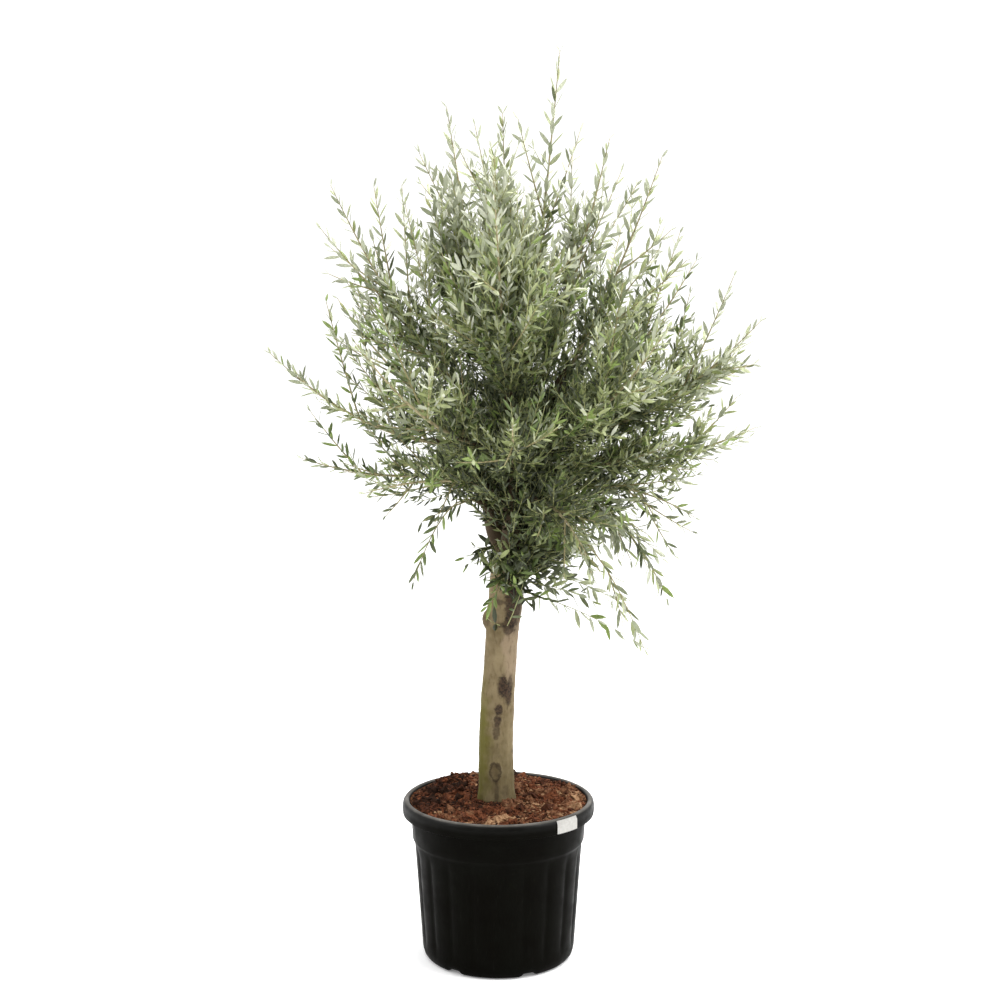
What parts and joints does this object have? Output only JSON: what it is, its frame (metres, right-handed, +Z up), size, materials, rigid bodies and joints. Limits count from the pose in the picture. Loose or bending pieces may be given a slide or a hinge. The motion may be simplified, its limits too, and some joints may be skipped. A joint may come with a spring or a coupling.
{
  "type": "potted olive tree",
  "caption": "Standard olive tree with a bare leaning trunk and an open round crown of long leafy shoots, growing in a black plastic nursery pot full of bark soil.",
  "frame": {"origin": "middle of the pot's flat underside, where the pot stands", "axes": "+Z up along the trunk, +X towards the crown's right as seen from the front, +Y to the back"},
  "size_m": [1.182, 1.06, 2.223],
  "materials": {
    "pot_plastic": "satin black injection-moulded plastic with faint dust and scuffs",
    "soil": "moist reddish-brown bark chips and crumbs",
    "label_card": "matt white, bare",
    "bark": "smooth grey-beige young bark with dark pruning knots and a green bloom low on one side",
    "foliage": "grey-green leaves, paler underneath, semi-matt"
  },
  "bodies": {
    "root": {"back_high": "foliage", "back_left": "foliage", "back_left_low": "foliage", "back_low": "foliage", "back_right": "foliage", "back_right_low": "foliage", "bough_back": "bark", "bough_front": "bark", "bough_left": "bark", "bough_middle": "bark", "bough_right": "bark", "branch_back_left": "bark", "branch_back_left_low": "bark", "branch_back_low": "bark", "branch_back_right": "bark", "branch_back_right_low": "bark", "branch_far_left": "bark", "branch_far_right": "bark", "branch_front_left": "bark", "branch_front_left_low": "bark", "branch_front_low": "bark", "branch_front_right": "bark", "branch_front_right_low": "bark", "branch_left_hanging": "bark", "branch_left_low": "bark", "branch_left_shoulder": "bark", "branch_low_right": "bark", "branch_right_hanging": "bark", "branch_right_low": "bark", "branch_right_shoulder": "bark", "branch_right_skirt": "bark", "branch_top_left": "bark", "branch_top_middle": "bark", "branch_top_right": "bark", "crown_top": "foliage", "far_left": "foliage", "far_right": "foliage", "front_high": "foliage", "front_left": "foliage", "front_left_low": "foliage", "front_low": "foliage", "front_right": "foliage", "front_right_low": "foliage", "left_hanging": "foliage", "left_low": "foliage", "left_shoulder": "foliage", "low_right": "foliage", "pot": "pot_plastic", "right_hanging": "foliage", "right_low": "foliage", "right_shoulder": "foliage", "right_skirt": "foliage", "rim_label": "label_card", "soil": "soil", "top_left": "foliage", "top_middle": "foliage", "top_right": "foliage", "trunk": "bark", "upper_left": "foliage", "upper_right": "foliage"}
  },
  "joints": []
}
